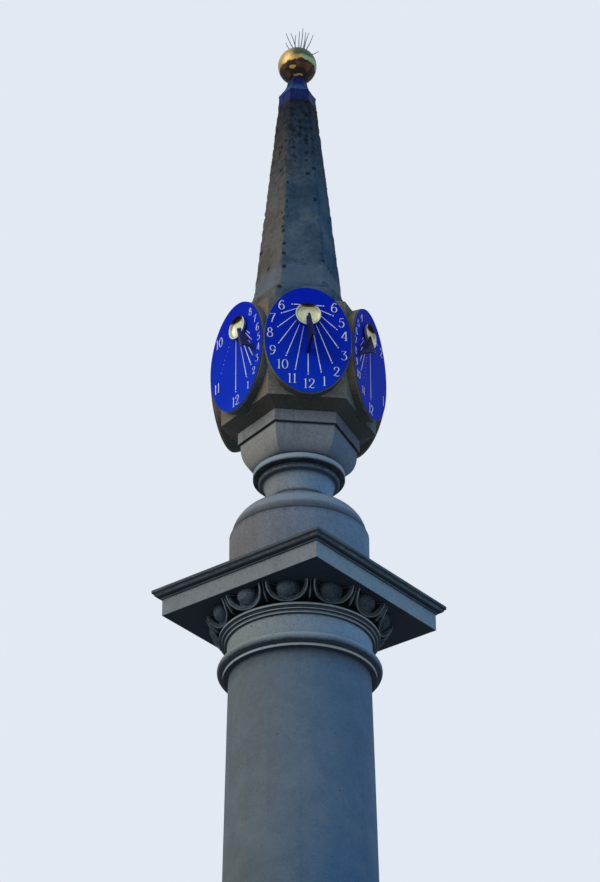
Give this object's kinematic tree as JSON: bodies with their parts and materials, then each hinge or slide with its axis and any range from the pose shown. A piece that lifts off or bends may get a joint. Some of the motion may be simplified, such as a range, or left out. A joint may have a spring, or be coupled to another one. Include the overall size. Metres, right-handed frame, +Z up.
{
  "type": "sundial pillar",
  "caption": "Round stone column on a stepped pedestal, carrying a six-sided sundial block topped by a small obelisk and a gilded ball.",
  "frame": {"origin": "centre of the round base, on the ground", "axes": "+Z up the pillar, -Y towards the front dial and one corner of the capital's slab"},
  "size_m": [3.8, 3.7996, 12.2922],
  "materials": {
    "pale_stone": "rough sawn limestone, weathered grey",
    "step_stone": "rough limestone, worn and darker",
    "spire_stone": "rough limestone, weathered brown-grey",
    "dial_enamel": "deep blue paint, satin",
    "gnomon_metal": "dark painted plate, satin",
    "gold_leaf": "gold leaf, slightly worn",
    "lead": "dark weathered lead sheet",
    "spike_wire": "dull spring wire"
  },
  "bodies": {
    "root": {"step_lower": "step_stone", "step_middle": "step_stone", "step_upper": "step_stone", "pedestal_socle": "step_stone", "pedestal_foot": "pale_stone", "pedestal_die": "pale_stone", "pedestal_cornice": "pale_stone", "pedestal_blocking": "pale_stone", "column_plinth": "pale_stone", "column_base": "pale_stone", "shaft_lower": "pale_stone", "shaft_mid_lower": "pale_stone", "shaft_mid_upper": "pale_stone", "shaft_upper": "pale_stone", "capital_neck": "pale_stone", "echinus": "pale_stone", "abacus": "pale_stone", "drum": "pale_stone", "neck": "pale_stone", "bowl": "pale_stone", "slab": "pale_stone", "dial_block": "pale_stone", "dial_front": "dial_enamel", "dial_front_right": "dial_enamel", "dial_rear_right": "dial_enamel", "dial_rear": "dial_enamel", "dial_rear_left": "dial_enamel", "dial_front_left": "dial_enamel", "gnomon_front": "gnomon_metal", "gnomon_front_right": "gnomon_metal", "gnomon_rear_right": "gnomon_metal", "gnomon_rear": "gnomon_metal", "gnomon_rear_left": "gnomon_metal", "gnomon_front_left": "gnomon_metal", "dish_front": "gold_leaf", "dish_front_right": "gold_leaf", "dish_rear_right": "gold_leaf", "dish_rear": "gold_leaf", "dish_rear_left": "gold_leaf", "dish_front_left": "gold_leaf", "spire": "spire_stone", "lead_cap": "lead", "ball": "gold_leaf", "bird_spikes": "spike_wire"}
  },
  "joints": []
}
